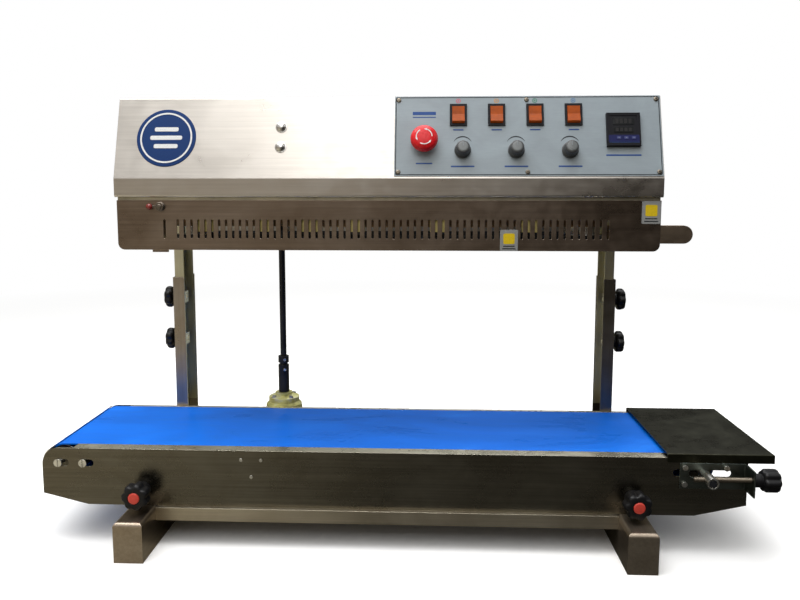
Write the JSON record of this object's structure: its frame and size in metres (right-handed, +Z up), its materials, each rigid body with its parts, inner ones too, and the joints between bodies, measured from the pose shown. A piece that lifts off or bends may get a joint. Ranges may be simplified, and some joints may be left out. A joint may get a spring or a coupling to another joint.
{
  "type": "continuous band sealer",
  "caption": "Continuous band sealer: a vertical sealing head on two height-adjustable columns over a belt conveyor, with a sloping control panel and infeed table.",
  "frame": {"origin": "centre of the machine's footprint box, on the floor", "axes": "+X along the conveyor towards the infeed table, +Y to the rear, +Z up"},
  "size_m": [1.066, 0.38, 0.6616],
  "materials": {
    "stainless": "brushed, satin",
    "bright_steel": "bright turned",
    "belt_blue": "smooth, slightly glossy",
    "black_knob": "moulded",
    "cast_zinc": "yellow passivated casting",
    "black_steel": "blackened",
    "plate_metal": "machined",
    "roller_rubber": "rubber lagging on a steel core",
    "wheel_metal": "turned",
    "band": "coated glass cloth, smooth",
    "yellow_zinc": "yellow zinc plated sheet",
    "block_metal": "machined",
    "gear_steel": "oiled",
    "motor_paint": "satin enamel",
    "panel_face": "satin printed face",
    "lit_rocker": "translucent, lit",
    "dial_grey": "moulded",
    "stop_red": "glossy",
    "black_case": "moulded",
    "key_grey": "moulded",
    "latch_metal": "dark plated"
  },
  "bodies": {
    "base": {"left_foot": "stainless", "right_foot": "stainless", "cross_beam": "stainless", "left_outer_column": "stainless", "right_outer_column": "stainless", "front_side_plate": "stainless", "rear_side_plate": "stainless", "conveyor_ties": "bright_steel", "conveyor_belt": "belt_blue", "belt_bed": "stainless", "table_plate": "stainless", "tension_bracket": "bright_steel", "gearbox_housing": "cast_zinc"},
    "left_end_roller": {"left_end_roller": "bright_steel"},
    "drive_roller": {"drive_roller": "roller_rubber"},
    "take_up": {"take_up_axle": "bright_steel"},
    "take_up_roller": {"take_up_roller": "bright_steel"},
    "tension_knob": {"tension_knob": "black_knob"},
    "left_conveyor_knob": {"left_conveyor_knob": "black_knob"},
    "right_conveyor_knob": {"right_conveyor_knob": "black_knob"},
    "transmission": {"transmission_shaft": "black_steel", "shaft_coupler": "black_steel"},
    "left_upper_knob": {"left_upper_knob": "black_knob"},
    "left_lower_knob": {"left_lower_knob": "black_knob"},
    "right_upper_knob": {"right_upper_knob": "black_knob"},
    "right_lower_knob": {"right_lower_knob": "black_knob"},
    "head": {"left_inner_column": "stainless", "right_inner_column": "stainless", "mounting_plate": "plate_metal", "housing": "stainless", "rear_cover": "stainless", "power_gland": "black_knob", "control_panel": "panel_face", "head_screws": "bright_steel", "switch_frames": "black_knob", "temperature_controller": "black_case", "bag_guides": "stainless", "seal_bands": "band", "seal_blocks": "block_metal", "zinc_brackets": "yellow_zinc", "drive_motor": "motor_paint"},
    "guard": {"guard": "stainless"},
    "guard_latch": {"guard_latch": "latch_metal"},
    "rocker_1": {"rocker_1": "lit_rocker"},
    "rocker_2": {"rocker_2": "lit_rocker"},
    "rocker_3": {"rocker_3": "lit_rocker"},
    "rocker_4": {"rocker_4": "lit_rocker"},
    "top_heat_dial": {"top_heat_dial": "dial_grey"},
    "set_heat_dial": {"set_heat_dial": "dial_grey"},
    "speed_dial": {"speed_dial": "dial_grey"},
    "estop_button": {"estop_button": "stop_red"},
    "set_key": {"set_key": "key_grey"},
    "down_key": {"down_key": "key_grey"},
    "up_key": {"up_key": "key_grey"},
    "front_drive_wheel": {"front_drive_wheel": "wheel_metal"},
    "rear_drive_wheel": {"rear_drive_wheel": "wheel_metal"},
    "front_driven_wheel": {"front_driven_wheel": "wheel_metal"},
    "rear_driven_wheel": {"rear_driven_wheel": "wheel_metal"},
    "motor_gear": {"motor_gear": "gear_steel"},
    "shaft_hub": {"shaft_hub": "gear_steel"}
  },
  "joints": [
    {"name": "head_lift", "type": "slide", "parent": "base", "child": "head", "axis": [0, 0, 1], "range_m": [-0.08, 0.025]},
    {"name": "left_upper_knob_turn", "type": "hinge", "parent": "base", "child": "left_upper_knob", "pos_m": [-0.404, 0.13, 0.335], "axis": [-1, 0, 0], "range_deg": [0, 720]},
    {"name": "left_lower_knob_turn", "type": "hinge", "parent": "base", "child": "left_lower_knob", "pos_m": [-0.404, 0.13, 0.26], "axis": [-1, 0, 0], "range_deg": [0, 720]},
    {"name": "left_conveyor_knob_turn", "type": "hinge", "parent": "base", "child": "left_conveyor_knob", "pos_m": [-0.3817, -0.126, 0.0835], "axis": [0, -1, 0], "range_deg": [0, 720]},
    {"name": "right_upper_knob_turn", "type": "hinge", "parent": "base", "child": "right_upper_knob", "pos_m": [0.358, 0.13, 0.335], "axis": [1, 0, 0], "range_deg": [0, 720]},
    {"name": "right_lower_knob_turn", "type": "hinge", "parent": "base", "child": "right_lower_knob", "pos_m": [0.358, 0.13, 0.26], "axis": [1, 0, 0], "range_deg": [0, 720]},
    {"name": "right_conveyor_knob_turn", "type": "hinge", "parent": "base", "child": "right_conveyor_knob", "pos_m": [0.3357, -0.126, 0.0835], "axis": [0, -1, 0], "range_deg": [0, 720]},
    {"name": "tension_turn", "type": "hinge", "parent": "base", "child": "tension_knob", "pos_m": [0.494, -0.15, 0.1217], "axis": [1, 0, 0], "range_deg": [0, 2880]},
    {"name": "take_up_slide", "type": "slide", "parent": "base", "child": "take_up", "axis": [1, 0, 0], "range_m": [-0.01, 0]},
    {"name": "motor_spin", "type": "hinge", "parent": "head", "child": "motor_gear", "pos_m": [-0.271, 0.07814, 0.523], "axis": [0, 0, 1], "continuous": true},
    {"name": "rear_drive_spin", "type": "hinge", "parent": "head", "child": "rear_drive_wheel", "pos_m": [-0.323, 0.02, 0.48], "axis": [0, 0, 1], "continuous": true},
    {"name": "front_drive_spin", "type": "hinge", "parent": "head", "child": "front_drive_wheel", "pos_m": [-0.323, -0.036, 0.48], "axis": [0, 0, 1], "continuous": true},
    {"name": "rear_driven_spin", "type": "hinge", "parent": "head", "child": "rear_driven_wheel", "pos_m": [0.277, 0.02, 0.48], "axis": [0, 0, 1], "continuous": true},
    {"name": "front_driven_spin", "type": "hinge", "parent": "head", "child": "front_driven_wheel", "pos_m": [0.277, -0.036, 0.48], "axis": [0, 0, 1], "continuous": true},
    {"name": "hub_spin", "type": "hinge", "parent": "head", "child": "shaft_hub", "pos_m": [-0.219, 0.13628, 0.523], "axis": [0, 0, 1], "continuous": true},
    {"name": "transmission_spin", "type": "hinge", "parent": "base", "child": "transmission", "pos_m": [-0.219, 0.13628, 0.3], "axis": [0, 0, 1], "continuous": true},
    {"name": "drive_roller_spin", "type": "hinge", "parent": "base", "child": "drive_roller", "pos_m": [-0.219, -0.006, 0.1217], "axis": [0, 1, 0], "continuous": true},
    {"name": "left_roller_spin", "type": "hinge", "parent": "base", "child": "left_end_roller", "pos_m": [-0.5085, -0.006, 0.1217], "axis": [0, 1, 0], "continuous": true},
    {"name": "take_up_roller_spin", "type": "hinge", "parent": "take_up", "child": "take_up_roller", "pos_m": [0.434, -0.006, 0.1217], "axis": [0, 1, 0], "continuous": true},
    {"name": "guard_swing", "type": "hinge", "parent": "head", "child": "guard", "pos_m": [-0.023, -0.074, 0.443], "axis": [1, 0, 0], "range_deg": [0, 100]},
    {"name": "guard_latch_turn", "type": "hinge", "parent": "guard", "child": "guard_latch", "pos_m": [-0.357, -0.082, 0.5], "axis": [0, -1, 0], "range_deg": [0, 90]},
    {"name": "rocker_1_rock", "type": "hinge", "parent": "head", "child": "rocker_1", "pos_m": [0.0827, -0.0601, 0.63341], "axis": [1, 0, 0], "range_deg": [0, 14]},
    {"name": "rocker_2_rock", "type": "hinge", "parent": "head", "child": "rocker_2", "pos_m": [0.1383, -0.0601, 0.63341], "axis": [1, 0, 0], "range_deg": [0, 14]},
    {"name": "rocker_3_rock", "type": "hinge", "parent": "head", "child": "rocker_3", "pos_m": [0.1939, -0.0601, 0.63341], "axis": [1, 0, 0], "range_deg": [0, 14]},
    {"name": "rocker_4_rock", "type": "hinge", "parent": "head", "child": "rocker_4", "pos_m": [0.2495, -0.0601, 0.63341], "axis": [1, 0, 0], "range_deg": [0, 14]},
    {"name": "top_heat_dial_turn", "type": "hinge", "parent": "head", "child": "top_heat_dial", "pos_m": [0.0887, -0.08378, 0.58393], "axis": [0, -0.958, 0.2867], "range_deg": [-140, 140]},
    {"name": "set_heat_dial_turn", "type": "hinge", "parent": "head", "child": "set_heat_dial", "pos_m": [0.1659, -0.08378, 0.58393], "axis": [0, -0.958, 0.2867], "range_deg": [-140, 140]},
    {"name": "speed_dial_turn", "type": "hinge", "parent": "head", "child": "speed_dial", "pos_m": [0.2431, -0.08378, 0.58393], "axis": [0, -0.958, 0.2867], "range_deg": [-140, 140]},
    {"name": "estop_press", "type": "slide", "parent": "head", "child": "estop_button", "axis": [0, 0.958, -0.2867], "range_m": [0, 0.005]},
    {"name": "set_key_press", "type": "slide", "parent": "head", "child": "set_key", "axis": [0, 0.958, -0.2867], "range_m": [0, 0.0005], "stiffness_N_per_m": 800},
    {"name": "down_key_press", "type": "slide", "parent": "head", "child": "down_key", "axis": [0, 0.958, -0.2867], "range_m": [0, 0.0005], "stiffness_N_per_m": 800},
    {"name": "up_key_press", "type": "slide", "parent": "head", "child": "up_key", "axis": [0, 0.958, -0.2867], "range_m": [0, 0.0005], "stiffness_N_per_m": 800}
  ],
  "couplings": [
    {"joint": "rear_drive_spin", "follows": "motor_spin", "ratio": -1.7857},
    {"joint": "front_drive_spin", "follows": "motor_spin", "ratio": 1.7857},
    {"joint": "rear_driven_spin", "follows": "motor_spin", "ratio": -1.7857},
    {"joint": "front_driven_spin", "follows": "motor_spin", "ratio": 1.7857},
    {"joint": "hub_spin", "follows": "motor_spin", "ratio": -1.7857},
    {"joint": "transmission_spin", "follows": "motor_spin", "ratio": -1.7857},
    {"joint": "drive_roller_spin", "follows": "motor_spin", "ratio": -2.381},
    {"joint": "left_roller_spin", "follows": "motor_spin", "ratio": -2.381},
    {"joint": "take_up_roller_spin", "follows": "motor_spin", "ratio": -2.381},
    {"joint": "tension_turn", "follows": "take_up_slide", "rad_per_m": -5026.5}
  ]
}
